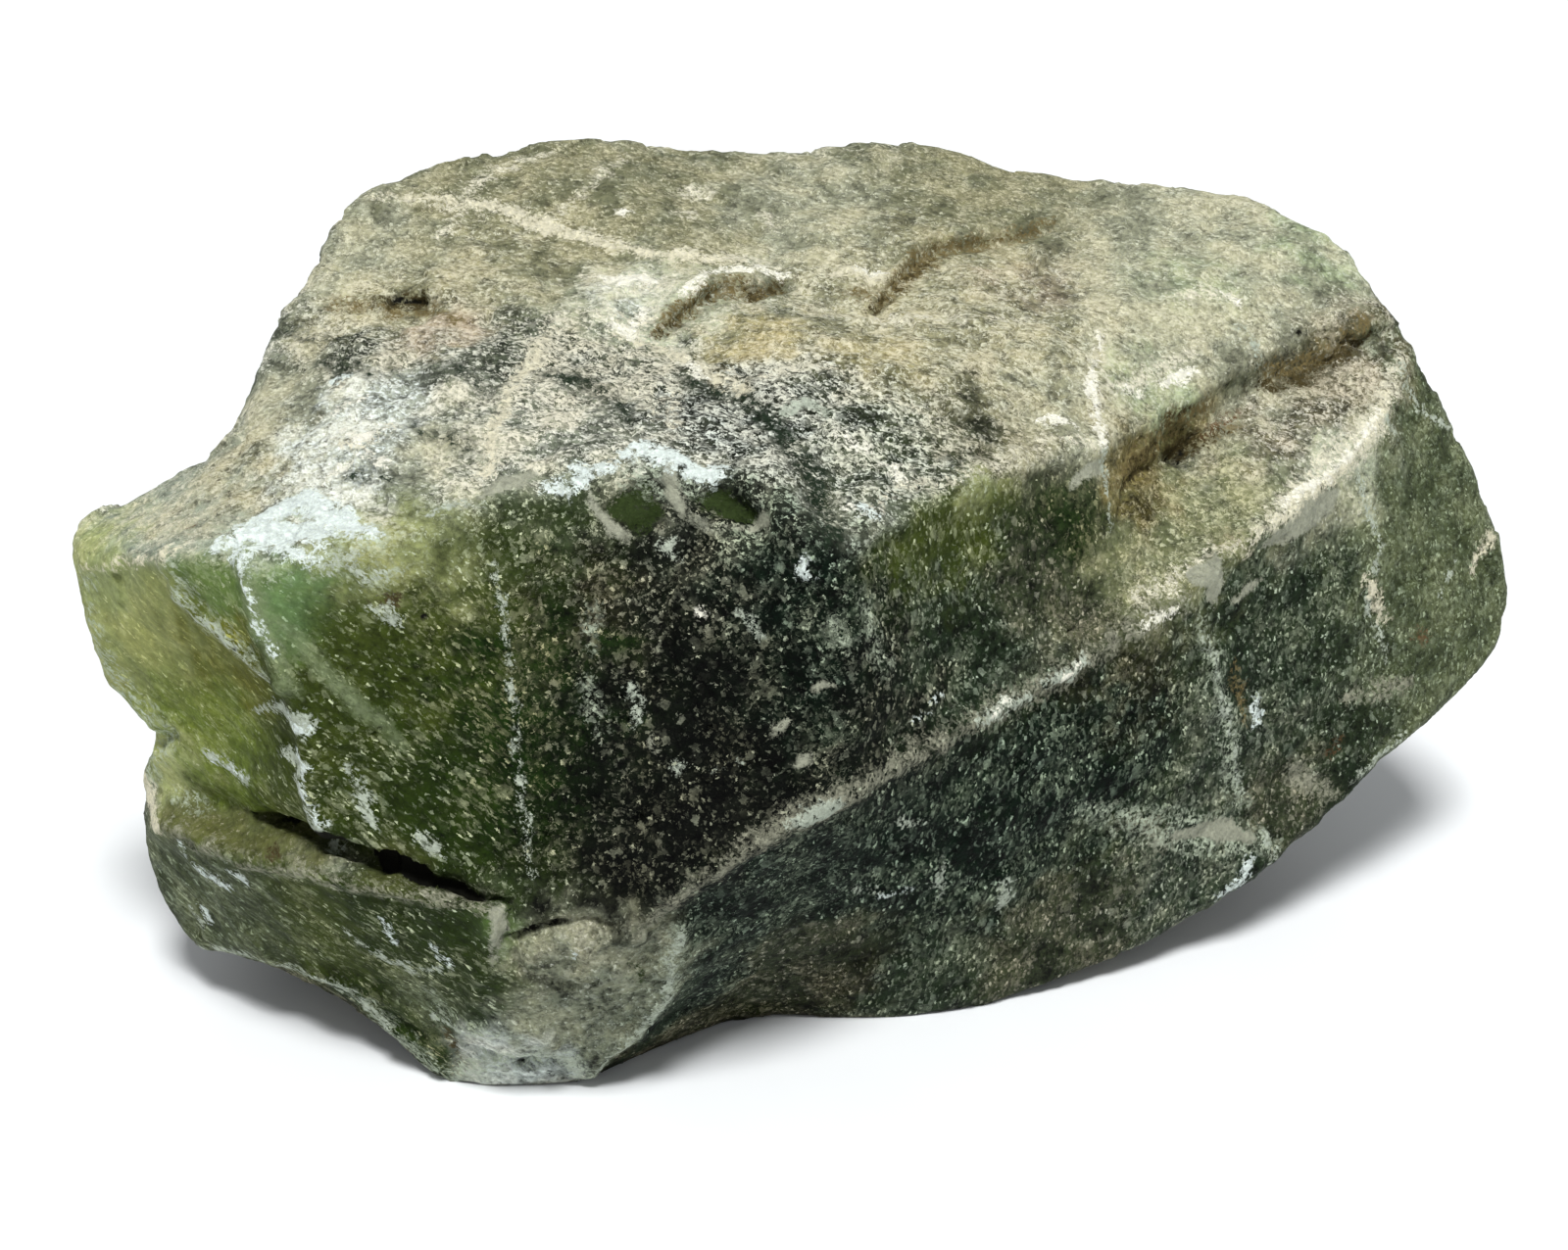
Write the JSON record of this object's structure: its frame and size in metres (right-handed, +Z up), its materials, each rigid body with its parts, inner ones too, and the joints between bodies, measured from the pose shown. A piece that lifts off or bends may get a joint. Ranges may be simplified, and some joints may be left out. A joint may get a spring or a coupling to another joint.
{
  "type": "raw aventurine stone",
  "caption": "Rough broken block of green aventurine with a stepped top, a notch at one end and an overhanging tip, lying on a flat spot.",
  "frame": {"origin": "middle of the stone's box, at the level that it rests on", "axes": "+Z up; +X along the stone's length, away from the overhanging tip; -Y towards the side with the overhanging ledge"},
  "size_m": [0.1084, 0.0678, 0.0561],
  "materials": {
    "stone": "rough broken faces, between dull and waxy"
  },
  "bodies": {
    "root": {"stone": "stone"}
  },
  "joints": []
}
